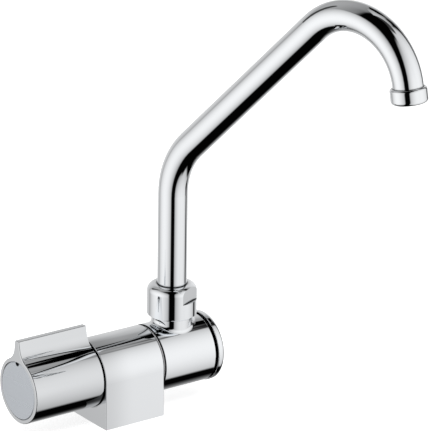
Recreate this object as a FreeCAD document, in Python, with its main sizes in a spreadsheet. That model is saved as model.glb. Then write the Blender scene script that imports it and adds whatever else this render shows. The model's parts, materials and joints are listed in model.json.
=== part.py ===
import FreeCAD, Part
import os
import re
import Sketcher
from FreeCAD import Vector

# A fold-down cold water tap for a worktop, in millimetres and degrees.
# +X runs along the tap's own axis from the knob to the end cap, +Y away from the user, +Z up.
# The origin is the centre of the block's underside, which stands on the worktop.
# The block is fixed. The knob turns a quarter on the left. On the right the carrier folds the
# spout down about the same axis, and the spout swivels in the carrier's neck.

os.makedirs("parts", exist_ok=True)
doc = FreeCAD.newDocument("fold_down_tap")
sheet = doc.addObject("Spreadsheet::Sheet", "Sizes")

SIZES = (
    # the block, and the axis that knob and carrier share
    ("block_length", 46.8),
    ("body_radius", 23.5),
    ("axis_height", 33.0),
    ("edge_break", 0.4),
    # clearances
    ("thread_fit", 0.05),
    ("running_fit", 0.06),
    ("face_gap", 0.1),
    ("ring_relief", 0.05),
    # ports and fixings in the block's underside
    ("inlet_radius", 8.33),
    ("inlet_depth", 12.0),
    ("feed_radius", 3.5),
    ("stud_spread", 15.0),
    ("stud_radius", 3.0),
    ("stud_depth", 12.0),
    ("gasket_inner", 19.2),
    ("gasket_width", 2.2),
    ("gasket_depth", 1.8),
    # the headwork's bore, with depths from the block's left face
    ("head_bore_radius", 10.45),
    ("head_thread_depth", 9.0),
    ("chamber_radius", 12.5),
    ("chamber_depth", 17.0),
    ("seat_bore_radius", 8.3),
    ("seat_depth", 19.0),
    ("seat_port_radius", 4.5),
    # the drilled way past the seat to the axle's chamber
    ("passage_offset", 10.2),
    ("passage_radius", 2.2),
    ("axle_chamber_length", 3.0),
    # the axle's bore in the block's right face
    ("root_bore_radius", 8.05),
    ("root_depth", 13.4),
    ("axle_seal_radius", 0.9),
    ("axle_seal_pocket", 2.5),
    # the headwork
    ("head_washer_thick", 1.0),
    ("head_washer_radius", 13.2),
    ("head_flange_thick", 1.2),
    ("head_hex_across", 24.0),
    ("head_hex_thick", 6.0),
    ("head_barrel_radius", 8.5),
    ("head_length", 20.0),
    ("disc_bore_radius", 6.8),
    ("head_bore_shoulder", 6.95),
    ("window_width", 8.0),
    ("window_length", 4.0),
    ("window_start", 9.3),
    # the spindle and the ceramic discs
    ("stem_radius", 4.9),
    ("stem_bore_clearance", 0.06),
    ("foot_thick", 3.4),
    ("friction_ring_thick", 0.5),
    ("tang_width", 4.0),
    ("tang_height", 1.4),
    ("moving_disc_thick", 2.6),
    ("fixed_disc_thick", 2.8),
    ("disc_port_radius", 1.7),
    ("disc_port_offset", 4.3),
    ("seat_seal_inner", 4.6),
    ("stem_ring_radius", 0.6),
    ("stem_ring_groove", 1.8),
    ("stem_ring_spacing", 7.0),
    ("stem_ring_start", 5.0),
    ("circlip_thick", 0.8),
    ("circlip_radius", 6.2),
    ("circlip_gap", 3.0),
    ("circlip_depth", 0.7),
    ("shank_across", 7.0),
    ("shank_length", 16.0),
    ("shank_clearance", 0.05),
    # the knob, with depths from its right end
    ("knob_gap", 1.2),
    ("knob_length", 53.0),
    ("knob_radius", 22.45),
    ("knob_wall", 2.4),
    ("knob_set", 2.5),
    ("knob_rim_round", 0.7),
    ("fin_height", 34.75),
    ("fin_tip", 4.6),
    ("fin_draft", 10.0),
    ("fin_flank", 12.0),
    ("fin_round", 0.8),
    ("cover_radius", 19.5),
    ("cover_thick", 1.6),
    ("cover_gap", 0.1),
    ("cover_bevel", 0.35),
    ("notch_radius", 2.2),
    ("front_web", 3.2),
    ("hub_radius", 9.5),
    ("hub_start", 21.1),
    ("insert_radius", 7.4),
    ("insert_flange", 1.0),
    ("screw_wall", 2.5),
    ("screw_radius", 2.45),
    ("screw_head_radius", 4.6),
    ("screw_head_thick", 3.0),
    ("screw_reach", 8.0),
    ("screw_drive_across", 3.0),
    ("well_radius", 6.5),
    ("clip_ring_thick", 0.7),
    ("clip_ring_length", 6.0),
    # the fold joint, with places measured from the block's right face
    ("slide_washer_thick", 1.1),
    ("slide_washer_inset", 0.9),
    ("slide_washer_play", 0.4),
    ("seam_round", 0.6),
    ("carrier_end", 42.3),
    ("journal_radius", 11.0),
    ("axle_bore_radius", 5.0),
    ("axle_ring_radius", 0.9),
    ("axle_ring_spread", 9.0),
    ("axle_ring_groove", 2.5),
    ("port_groove_width", 11.0),
    ("port_groove_depth", 2.0),
    ("port_radius", 3.0),
    ("nut_recess_radius", 17.0),
    ("nut_recess_depth", 6.0),
    ("axle_end_radius", 7.0),
    ("axle_end_length", 7.3),
    ("thrust_washer_thick", 1.0),
    ("thrust_washer_radius", 16.2),
    ("spring_radius", 12.5),
    ("spring_thick", 0.7),
    ("spring_rise", 0.5),
    ("axle_nut_across", 19.0),
    ("axle_nut_thick", 4.5),
    ("socket_across", 6.0),
    ("socket_depth", 4.0),
    # the stop pin in its curved slot
    ("fold_range", 90.0),
    ("pin_angle", 45.0),
    ("pin_circle", 16.8),
    ("pin_radius", 2.0),
    ("pin_play", 0.15),
    ("pin_seat", 5.5),
    ("pin_reach", 4.2),
    ("slot_floor_gap", 0.8),
    # the end cap
    ("cap_overhang", 0.5),
    ("cap_groove", 2.2),
    ("cap_groove_depth", 2.0),
    ("cap_length", 5.55),
    ("cap_round", 3.0),
    ("cap_wall", 2.2),
    ("spigot_wall", 4.0),
    ("spigot_length", 3.2),
    ("cap_ring_radius", 0.6),
    ("cap_ring_groove", 1.5),
    # the neck and the swivel nut, with heights above the worktop
    ("tube_offset", 21.85),
    ("neck_radius", 13.75),
    ("neck_fillet", 3.0),
    ("neck_shoulder", 61.3),
    ("neck_thread_radius", 13.2),
    ("neck_top", 73.0),
    ("neck_port_radius", 6.5),
    ("neck_bore_radius", 10.28),
    ("neck_bore_floor", 57.5),
    ("nut_gap", 0.3),
    ("nut_radius", 16.8),
    ("nut_top", 83.3),
    ("nut_dome", 4.85),
    ("nut_chamfer", 0.6),
    ("nut_flats", 29.0),
    ("nut_flats_height", 10.7),
    ("nut_flats_turn", 68.0),
    ("slip_ring_thick", 0.9),
    ("nut_ring_thick", 1.5),
    # the spout
    ("spout_turn", 75.0),
    ("tube_radius", 10.0),
    ("tube_wall", 1.25),
    ("tube_hole_gap", 0.3),
    ("foot_flange", 2.4),
    ("foot_flange_radius", 12.6),
    ("foot_bore_radius", 6.0),
    ("foot_spigot", 7.6),
    ("foot_floor_gap", 0.3),
    ("foot_ring_radius", 0.8),
    ("foot_ring_groove", 2.2),
    ("foot_ring_spacing", 7.0),
    ("foot_ring_start", 4.2),
    ("spout_rise", 169.1),
    ("spout_arm", 250.0),
    ("arm_angle", 45.4),
    ("elbow_radius", 53.1),
    ("crook_radius", 43.5),
    ("end_angle", 80.5),
    ("tip_straight", 0.66),
    # the nozzle and the aerator inside it
    ("nozzle_radius", 12.0),
    ("nozzle_length", 10.3),
    ("nozzle_socket", 3.8),
    ("nozzle_lip", 1.3),
    ("nozzle_top_round", 1.8),
    ("nozzle_rim_round", 2.4),
    ("aerator_bore_radius", 9.4),
    ("aerator_seal_inner", 7.0),
    ("aerator_seal_thick", 1.0),
    ("aerator_wall", 1.2),
    ("aerator_inset", 0.7),
    ("grid_thick", 1.0),
    ("grid_hole_radius", 1.15),
    ("grid_inner_circle", 3.0),
    ("grid_outer_circle", 6.1),
    ("screen_thick", 0.4),
)
for row, (name, size) in enumerate(SIZES, start=1):
    sheet.set("A%d" % row, name)
    sheet.set("B%d" % row, str(size))
    sheet.setAlias("B%d" % row, name)
doc.recompute()

NAMES = {name for name, size in SIZES}
WORD = re.compile(r"[a-z]+(?:_[a-z]+)*")

# places that several pieces share
LEFT_FACE = "(0 - block_length / 2)"
RIGHT_FACE = "(block_length / 2)"
KNOB_START = "(0 - block_length / 2 - knob_gap)"
TUBE_X = "(block_length / 2 + tube_offset)"
SEAM = "(slide_washer_thick + face_gap)"
RECESS_FLOOR = "(carrier_end - nut_recess_depth)"
AXLE_SHOULDER = "(carrier_end - nut_recess_depth + face_gap)"
SPRING_SEAT = "(" + AXLE_SHOULDER + " + thrust_washer_thick)"
SPRING_TOP = "(" + SPRING_SEAT + " + spring_thick + spring_rise)"
FOOT_TOP = "(0 - head_bore_shoulder - face_gap / 2 - friction_ring_thick)"
FOOT_END = "(" + FOOT_TOP + " - foot_thick)"
FIXED_DISC_TOP = "(" + FOOT_END + " - moving_disc_thick)"
FIXED_DISC_END = "(" + FIXED_DISC_TOP + " - fixed_disc_thick)"
NUT_BASE = "(neck_shoulder + nut_gap)"
FLANGE_BASE = "(neck_top + slip_ring_thick + face_gap)"
TUBE_BASE = "(" + FLANGE_BASE + " + foot_flange)"
NUT_SHOULDER = "(" + TUBE_BASE + " + nut_ring_thick + face_gap)"
TUBE_BORE = "(tube_radius - tube_wall)"
SHANK_START = "(head_length + circlip_thick + face_gap + stem_bore_clearance)"
INSERT_END = "(" + SHANK_START + " + shank_length + face_gap - knob_gap)"


def bound(text):
    """a size expression with each size's name tied to its cell"""
    return WORD.sub(lambda word: "Sizes." + word.group() if word.group() in NAMES else word.group(), text)


def value(text):
    """the number that a size expression stands for"""
    return float(sheet.evalExpression(bound(text) + " + 0.0"))


def place(item, x="0", y="0", z="0", yaw="0", pitch="0", roll="0"):
    """ties an object's place and turn to size expressions"""
    spot = "create(<<vector>>; %s; %s; %s)" % (bound(x), bound(y), bound(z))
    turn = "create(<<rotation>>; %s; %s; %s)" % (bound(yaw), bound(pitch), bound(roll))
    item.setExpression("Placement", "create(<<placement>>; %s; %s)" % (spot, turn))
    return item


# the ways in which a turned piece's own axis can point
RIGHT_ANGLE = "acos(0)"
UP = {}
TO_RIGHT = {"pitch": RIGHT_ANGLE}
TO_LEFT = {"pitch": "-" + RIGHT_ANGLE}
ON_AXIS_RIGHT = {"x": RIGHT_FACE, "z": "axis_height", **TO_RIGHT}
ON_AXIS_LEFT = {"x": LEFT_FACE, "z": "axis_height", **TO_LEFT}
IN_NECK = {"x": TUBE_X}
IN_KNOB = {"x": KNOB_START, "z": "axis_height", "roll": "0 - knob_set"}
SPOUT_PLANE = {"x": TUBE_X, "yaw": "0 - spout_turn"}
CROOK_RUN = "(crook_radius * tan((arm_angle + end_angle) / 2))"
SPOUT_DROP = "(" + CROOK_RUN + " + tip_straight + nozzle_length / 2)"
NOZZLE_REACH = "(spout_arm * cos(arm_angle) + " + SPOUT_DROP + " * cos(end_angle))"
NOZZLE_HEIGHT = "(spout_rise + spout_arm * sin(arm_angle) - " + SPOUT_DROP + " * sin(end_angle))"
ON_NOZZLE = {
    "x": TUBE_X + " + " + NOZZLE_REACH + " * cos(spout_turn)",
    "y": "0 - " + NOZZLE_REACH + " * sin(spout_turn)",
    "z": NOZZLE_HEIGHT,
    "yaw": "0 - spout_turn",
    "pitch": "acos(0 - sin(end_angle))",
}


def new_body(name, where):
    """a PartDesign body whose own frame lies where the piece sits"""
    return place(doc.addObject("PartDesign::Body", name), **where)


def new_sketch(body, name, role, offset="0"):
    """a sketch on one of the body's own origin planes, moved along the plane's normal"""
    sketch = body.newObject("Sketcher::SketchObject", name)
    plane = [item for item in body.Origin.OriginFeatures if item.Role == role][0]
    sketch.AttachmentSupport = (plane, [""])
    sketch.MapMode = "FlatFace"
    sketch.setExpression("AttachmentOffset.Base.z", bound(offset))
    return sketch


def pin(sketch, edge, end, x, y):
    """holds one point of a sketch at two size expressions"""
    for kind, text, axis in (("DistanceX", x, -2), ("DistanceY", y, -1)):
        if text == "0":
            sketch.addConstraint(Sketcher.Constraint("PointOnObject", edge, end, axis))
        else:
            hold(sketch, kind, edge, end, text)


def hold(sketch, kind, edge, end, text):
    """ties one point's DistanceX or DistanceY from the origin to a size expression"""
    index = sketch.addConstraint(Sketcher.Constraint(kind, -1, 1, edge, end, value(text)))
    sketch.setExpression("Constraints[%d]" % index, bound(text))


def hold_radius(sketch, edge, text):
    index = sketch.addConstraint(Sketcher.Constraint("Radius", edge, value(text)))
    sketch.setExpression("Constraints[%d]" % index, bound(text))


def draw_outline(sketch, corners):
    """a closed run of straight lines whose corners are pairs of size expressions"""
    spots = [Vector(value(x), value(y), 0) for x, y in corners]
    count = len(spots)
    for index in range(count):
        sketch.addGeometry(Part.LineSegment(spots[index], spots[(index + 1) % count]), False)
    for index in range(count):
        sketch.addConstraint(Sketcher.Constraint("Coincident", index, 2, (index + 1) % count, 1))
    for index, (x, y) in enumerate(corners):
        pin(sketch, index, 1, x, y)


def draw_circle(sketch, radius, x="0", y="0"):
    circle = Part.Circle(Vector(value(x), value(y), 0), Vector(0, 0, 1), value(radius))
    edge = sketch.addGeometry(circle, False)
    pin(sketch, edge, 3, x, y)
    hold_radius(sketch, edge, radius)


def feature(body, kind, name, sketch, length, reverse=False):
    """a pad or pocket of a sketch"""
    item = body.newObject("PartDesign::" + kind, name)
    item.Profile = sketch
    item.setExpression("Length", bound(length))
    item.Reversed = reverse
    sketch.Visibility = False
    return item


def turn(body, kind, name, corners, axis="V_Axis"):
    """a revolution or groove of an outline drawn on the body's XZ plane"""
    sketch = new_sketch(body, name + "_outline", "XZ_Plane")
    draw_outline(sketch, corners)
    item = body.newObject("PartDesign::" + kind, name)
    item.Profile = sketch
    item.ReferenceAxis = (sketch, [axis])
    item.Angle = 360
    return item


def turned(name, where, corners):
    """a piece turned about its own axis, from (radius, height) corners"""
    body = new_body(name, where)
    turn(body, "Revolution", name + "_turning", corners)
    return body


def round_edges(body, name, radius, wanted, kind="Fillet"):
    """a fillet or chamfer on the edges of the body's tip that the test picks"""
    doc.recompute()
    base = body.Tip
    picked = ["Edge%d" % (index + 1) for index, edge in enumerate(base.Shape.Edges) if wanted(edge)]
    item = body.newObject("PartDesign::" + kind, name)
    item.Base = (base, picked)
    item.setExpression("Radius" if kind == "Fillet" else "Size", bound(radius))
    return item


def is_rim(edge, radius, height):
    """whether an edge is the circle of that radius at that height on the piece's own axis"""
    curve = edge.Curve
    if not isinstance(curve, Part.Circle):
        return False
    return abs(curve.Radius - value(radius)) < 0.01 and abs(curve.Center.z - value(height)) < 0.01


def cylinder(name, radius, height, **where):
    item = doc.addObject("Part::Cylinder", name)
    item.setExpression("Radius", bound(radius))
    item.setExpression("Height", bound(height))
    return place(item, **where)


def box(name, length, width, height, **where):
    item = doc.addObject("Part::Box", name)
    item.setExpression("Length", bound(length))
    item.setExpression("Width", bound(width))
    item.setExpression("Height", bound(height))
    return place(item, **where)


def hexagon(name, across, height, **where):
    item = doc.addObject("Part::Prism", name)
    item.Polygon = 6
    item.setExpression("Circumradius", bound("(%s) / sqrt(3)" % across))
    item.setExpression("Height", bound(height))
    return place(item, **where)


def seal_ring(name, middle, section, **where):
    """a round-section ring, from the radius of its middle line and of its section"""
    item = doc.addObject("Part::Torus", name)
    item.setExpression("Radius1", bound(middle))
    item.setExpression("Radius2", bound(section))
    return place(item, **where)


def joined(name, pieces):
    item = doc.addObject("Part::MultiFuse", name)
    item.Shapes = pieces
    return item


def grouped(name, pieces):
    """separate equal solids that share one node"""
    item = doc.addObject("Part::Compound", name)
    item.Links = pieces
    return item


def cut(name, base, tools):
    item = doc.addObject("Part::Cut", name)
    item.Base = base
    item.Tool = tools[0] if len(tools) == 1 else joined(name + "_tools", tools)
    return item


def common(name, base, tool):
    item = doc.addObject("Part::Common", name)
    item.Base = base
    item.Tool = tool
    return item


def at_height(where, along):
    """the same frame moved along its own axis, for pieces on the tap's axis or in the neck"""
    moved = dict(where)
    if where.get("pitch") == TO_RIGHT["pitch"]:
        moved["x"] = where["x"] + " + (" + along + ")"
    elif where.get("pitch") == TO_LEFT["pitch"]:
        moved["x"] = where["x"] + " - (" + along + ")"
    else:
        moved["z"] = where.get("z", "0") + " + (" + along + ")"
    return moved


nodes = {}


def node(name, item):
    """files a finished piece under the name of its node"""
    item.Label = name
    nodes[name] = item
    return item


def block():
    """the fixed block: an arched prism with its bores, ports and grooves"""
    body = new_body("block_body", {"z": "axis_height"})
    section = new_sketch(body, "block_section", "YZ_Plane", LEFT_FACE)
    side = value("body_radius")
    low = value("0 - axis_height")
    section.addGeometry(Part.LineSegment(Vector(-side, 0, 0), Vector(-side, low, 0)), False)
    section.addGeometry(Part.LineSegment(Vector(-side, low, 0), Vector(side, low, 0)), False)
    section.addGeometry(Part.LineSegment(Vector(side, low, 0), Vector(side, 0, 0)), False)
    arch = Part.Arc(Vector(side, 0, 0), Vector(0, side, 0), Vector(-side, 0, 0))
    section.addGeometry(arch, False)
    for index in range(4):
        section.addConstraint(Sketcher.Constraint("Coincident", index, 2, (index + 1) % 4, 1))
    pin(section, 0, 1, "0 - body_radius", "0")
    pin(section, 1, 1, "0 - body_radius", "0 - axis_height")
    pin(section, 2, 1, "body_radius", "0 - axis_height")
    pin(section, 3, 1, "body_radius", "0")
    section.addConstraint(Sketcher.Constraint("PointOnObject", 3, 3, -1))
    feature(body, "Pad", "block_pad", section, "block_length")
    end = value("block_length / 2")
    floor = value("1 - axis_height")
    for name, radius, face in (("left_edges", "edge_break", 0 - end), ("seam_edges", "seam_round", end)):
        round_edges(body, name, radius, lambda edge: (
            abs(edge.CenterOfMass.x - face) < 0.01 and edge.CenterOfMass.z > floor))
    turn(body, "Groove", "headwork_bore", (
        (LEFT_FACE, "0"),
        (LEFT_FACE, "head_bore_radius"),
        (LEFT_FACE + " + head_thread_depth", "head_bore_radius"),
        (LEFT_FACE + " + head_thread_depth", "chamber_radius"),
        (LEFT_FACE + " + chamber_depth", "chamber_radius"),
        (LEFT_FACE + " + chamber_depth", "seat_bore_radius"),
        (LEFT_FACE + " + seat_depth", "seat_bore_radius"),
        (LEFT_FACE + " + seat_depth", "seat_port_radius"),
        ("0", "seat_port_radius"),
        ("0", "0"),
    ), "H_Axis")
    pocket_radius = "root_bore_radius + axle_seal_pocket"
    pocket_floor = RIGHT_FACE + " - 2 * axle_seal_radius"
    turn(body, "Groove", "axle_bore", (
        (RIGHT_FACE, "0"),
        (RIGHT_FACE, pocket_radius),
        (pocket_floor, pocket_radius),
        (pocket_floor, "root_bore_radius"),
        (RIGHT_FACE + " - root_depth", "root_bore_radius"),
        (RIGHT_FACE + " - root_depth", "chamber_radius"),
        (RIGHT_FACE + " - root_depth - axle_chamber_length", "chamber_radius"),
        (RIGHT_FACE + " - root_depth - axle_chamber_length", "0"),
    ), "H_Axis")
    passage_start = LEFT_FACE + " + (head_thread_depth + chamber_depth) / 2"
    passage = new_sketch(body, "passage_circle", "YZ_Plane", passage_start)
    draw_circle(passage, "passage_radius", "0", "passage_offset")
    feature(body, "Pocket", "passage", passage, RIGHT_FACE + " - root_depth - (" + passage_start + ")", True)
    pin_hole = new_sketch(body, "pin_hole_circle", "YZ_Plane", RIGHT_FACE)
    draw_circle(pin_hole, "pin_radius", *PIN_SPOT)
    feature(body, "Pocket", "pin_hole", pin_hole, "pin_seat")
    underside = "0 - axis_height"
    port = new_sketch(body, "inlet_circle", "XY_Plane", underside)
    draw_circle(port, "inlet_radius")
    feature(body, "Pocket", "inlet_port", port, "inlet_depth", True)
    feed = new_sketch(body, "feed_circle", "XY_Plane", underside)
    draw_circle(feed, "feed_radius")
    feature(body, "Pocket", "feed", feed, "axis_height", True)
    studs = new_sketch(body, "stud_circles", "XY_Plane", underside)
    draw_circle(studs, "stud_radius", "stud_spread", "0")
    draw_circle(studs, "stud_radius", "0 - stud_spread", "0")
    feature(body, "Pocket", "stud_holes", studs, "stud_depth", True)
    groove = new_sketch(body, "gasket_circles", "XY_Plane", underside)
    draw_circle(groove, "gasket_inner")
    draw_circle(groove, "gasket_inner + gasket_width")
    feature(body, "Pocket", "gasket_groove", groove, "gasket_depth", True)
    return body


PIN_SPOT = ("pin_circle * cos(pin_angle)", "0 - pin_circle * sin(pin_angle)")


def base_gasket():
    """the flat ring that seals the block to the worktop, flush with the underside"""
    inner = "gasket_inner + ring_relief"
    outer = "gasket_inner + gasket_width - ring_relief"
    top = "gasket_depth - ring_relief"
    return turned("base_gasket_body", UP, ((inner, "0"), (outer, "0"), (outer, top), (inner, top)))


def headwork():
    """the quarter-turn headwork's brass body: thread, hexagon, barrel and windowed nose"""
    nose = "seat_bore_radius - running_fit"
    thread = "head_bore_radius - thread_fit"
    nose_end = FIXED_DISC_END + " - face_gap"
    hex_start = "head_washer_thick + head_flange_thick"
    solid = turned("headwork_turning", ON_AXIS_LEFT, (
        ("0", nose_end),
        (nose, nose_end),
        (nose, "0 - head_thread_depth"),
        (thread, "0 - head_thread_depth"),
        (thread, "head_washer_thick"),
        ("head_washer_radius", "head_washer_thick"),
        ("head_washer_radius", hex_start),
        ("head_barrel_radius", hex_start),
        ("head_barrel_radius", "head_length"),
        ("0", "head_length"),
    ))
    hexa = hexagon("headwork_hexagon", "head_hex_across", "head_hex_thick",
                   **at_height(ON_AXIS_LEFT, hex_start))
    stem = cylinder("headwork_stem_bore", "stem_radius + stem_bore_clearance",
                    "head_length + seat_depth", **at_height(ON_AXIS_LEFT, "0 - seat_depth"))
    discs = cylinder("headwork_disc_bore", "disc_bore_radius",
                     "seat_depth - head_bore_shoulder", **at_height(ON_AXIS_LEFT, "0 - seat_depth"))
    windows = box("headwork_windows", "window_length", "4 * disc_bore_radius", "window_width",
                  x=LEFT_FACE + " + window_start", y="0 - 2 * disc_bore_radius",
                  z="axis_height - window_width / 2")
    return cut("headwork_cut", joined("headwork_solid", [solid, hexa]), [stem, discs, windows])


def headwork_washer():
    """the fibre washer between the headwork's flange and the block"""
    inner = "head_bore_radius"
    top = "head_washer_thick"
    return turned("headwork_washer_body", ON_AXIS_LEFT, (
        (inner, "0"), ("head_washer_radius", "0"), ("head_washer_radius", top), (inner, top)))


def spindle():
    """the valve spindle: driving foot with its tang, ringed stem, circlip groove and square shank"""
    groove_radius = "stem_radius - 2 * stem_ring_radius"
    first = ring_span(stem_ring_place(0), "stem_ring_groove")
    second = ring_span(stem_ring_place(1), "stem_ring_groove")
    clip_root = "stem_radius - circlip_depth"
    body = turned("spindle_turning", ON_AXIS_LEFT, (
        ("0", FOOT_END),
        ("disc_bore_radius - running_fit", FOOT_END),
        ("disc_bore_radius - running_fit", FOOT_TOP),
        ("stem_radius", FOOT_TOP),
        ("stem_radius", first[0]),
        (groove_radius, first[0]),
        (groove_radius, first[1]),
        ("stem_radius", first[1]),
        ("stem_radius", second[0]),
        (groove_radius, second[0]),
        (groove_radius, second[1]),
        ("stem_radius", second[1]),
        ("stem_radius", "head_length + face_gap"),
        (clip_root, "head_length + face_gap"),
        (clip_root, SHANK_START),
        ("0", SHANK_START),
    ))
    tang = box("spindle_tang", "tang_height", "tang_width", "2 * disc_bore_radius - tang_width",
               x=LEFT_FACE + " - (" + FOOT_END + ")", y="0 - tang_width / 2",
               z="axis_height - disc_bore_radius + tang_width / 2")
    rod = cylinder("spindle_rod", "stem_radius", "shank_length", **at_height(ON_AXIS_LEFT, SHANK_START))
    square = box("spindle_square", "shank_length", "shank_across", "shank_across",
                 x=LEFT_FACE + " - (" + SHANK_START + ") - shank_length", y="0 - shank_across / 2",
                 z="axis_height - shank_across / 2")
    shank = common("spindle_shank", rod, square)
    hole = cylinder("spindle_screw_hole", "screw_radius + thread_fit", "screw_reach + face_gap",
                    **at_height(ON_AXIS_LEFT, SHANK_START + " + shank_length - screw_reach"))
    return cut("spindle_cut", joined("spindle_solid", [body, tang, shank]), [hole])


def stem_ring_place(index):
    return "(stem_ring_start + %d * stem_ring_spacing)" % index


def ring_span(middle, width):
    """where a ring's groove starts and ends"""
    return (middle + " - " + width + " / 2", middle + " + " + width + " / 2")


def friction_ring():
    """the plastic ring that the spindle's foot turns against"""
    inner = "stem_radius + running_fit"
    outer = "disc_bore_radius - running_fit"
    return turned("friction_ring_body", ON_AXIS_LEFT, (
        (inner, FOOT_TOP), (outer, FOOT_TOP),
        (outer, FOOT_TOP + " + friction_ring_thick"), (inner, FOOT_TOP + " + friction_ring_thick")))


def ceramic_disc(name, top, thick, port_y, port_z):
    """one ceramic disc with its two ports on opposite sides of the axis"""
    disc = cylinder(name + "_blank", "disc_bore_radius - running_fit", thick,
                    **at_height(ON_AXIS_LEFT, top + " - " + thick))
    ports = [
        cylinder("%s_port_%d" % (name, index), "disc_port_radius", thick,
                 x=LEFT_FACE + " - (" + top + ")", y="%d * (%s)" % (side, port_y),
                 z="axis_height + %d * (%s)" % (side, port_z), pitch=RIGHT_ANGLE)
        for index, side in enumerate((1, -1))
    ]
    return disc, ports


def moving_disc():
    """the upper disc, slotted for the tang, its ports level when the tap is shut"""
    disc, ports = ceramic_disc("moving_disc", FOOT_END, "moving_disc_thick", "disc_port_offset", "0")
    slot = box("moving_disc_slot", "tang_height + face_gap", "tang_width + 2 * running_fit",
               "2 * disc_bore_radius", x=LEFT_FACE + " - (" + FOOT_END + ")",
               y="0 - tang_width / 2 - running_fit", z="axis_height - disc_bore_radius")
    return cut("moving_disc_cut", disc, ports + [slot])


def fixed_disc():
    """the lower disc, its ports upright"""
    disc, ports = ceramic_disc("fixed_disc", FIXED_DISC_TOP, "fixed_disc_thick", "0", "disc_port_offset")
    return cut("fixed_disc_cut", disc, ports)


def seat_seal():
    """the rubber collar that seals the fixed disc to the seat in the block"""
    outer = "disc_bore_radius - running_fit"
    return turned("seat_seal_body", ON_AXIS_LEFT, (
        ("seat_seal_inner", "0 - seat_depth"), (outer, "0 - seat_depth"),
        (outer, FIXED_DISC_END), ("seat_seal_inner", FIXED_DISC_END)))


def stem_rings():
    return grouped("stem_ring_pair", [
        seal_ring("stem_ring_%d" % index, "stem_radius - stem_ring_radius",
                  "stem_ring_radius - ring_relief / 2",
                  **at_height(ON_AXIS_LEFT, stem_ring_place(index)))
        for index in range(2)
    ])


def circlip():
    """the open spring ring that keeps the spindle in the headwork"""
    inner = "stem_radius - circlip_depth + running_fit"
    bottom = "head_length + face_gap"
    top = "head_length + face_gap + circlip_thick"
    ring = turned("circlip_ring", ON_AXIS_LEFT, (
        (inner, bottom), ("circlip_radius", bottom), ("circlip_radius", top), (inner, top)))
    gap = box("circlip_opening", "circlip_thick", "circlip_gap", "circlip_radius",
              x=LEFT_FACE + " - (" + top + ")", y="0 - circlip_gap / 2", z="axis_height - circlip_radius")
    return cut("circlip_cut", ring, [gap])


def knob_shell():
    """the knob: a cylinder that flows into one upright fin, hollow round a central hub"""
    body = new_body("knob_body", IN_KNOB)
    section = new_sketch(body, "knob_section", "YZ_Plane")
    draw_knob_section(section)
    feature(body, "Pad", "knob_pad", section, "knob_length", True)
    front, crest, side = value("0 - knob_length"), value("fin_height"), value("fin_tip / 2")
    round_edges(body, "fin_crest", "fin_round", lambda edge: (
        isinstance(edge.Curve, Part.Line) and abs(edge.CenterOfMass.z - crest) < 0.01
        and abs(abs(edge.CenterOfMass.y) - side) < 0.01 and edge.Length > abs(front) / 2))
    round_edges(body, "knob_front_edges", "knob_rim_round", lambda edge: (
        abs(edge.CenterOfMass.x - front) < 0.01))
    cavity_end = "0 - (knob_length - cover_thick - cover_gap - front_web)"
    inner = "knob_radius - knob_wall"
    turn(body, "Groove", "knob_cavity", (
        ("0", "0"),
        ("0", inner),
        (cavity_end, inner),
        (cavity_end, "hub_radius"),
        ("0 - hub_start", "hub_radius"),
        ("0 - hub_start", "insert_radius + thread_fit"),
        ("0 - (" + INSERT_END + ")", "insert_radius + thread_fit"),
        ("0 - (" + INSERT_END + ")", "0"),
    ), "H_Axis")
    turn(body, "Groove", "knob_front_recess", (
        ("0 - knob_length", "0"),
        ("0 - knob_length", "cover_radius + cover_gap + cover_bevel"),
        ("0 - (knob_length - cover_bevel)", "cover_radius + cover_gap"),
        ("0 - (knob_length - cover_thick)", "cover_radius + cover_gap"),
        ("0 - (knob_length - cover_thick)", "well_radius"),
        ("0 - (" + INSERT_END + " + screw_wall)", "well_radius"),
        ("0 - (" + INSERT_END + " + screw_wall)", "screw_radius + face_gap"),
        ("0 - (" + INSERT_END + ")", "screw_radius + face_gap"),
        ("0 - (" + INSERT_END + ")", "0"),
    ), "H_Axis")
    return body


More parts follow.
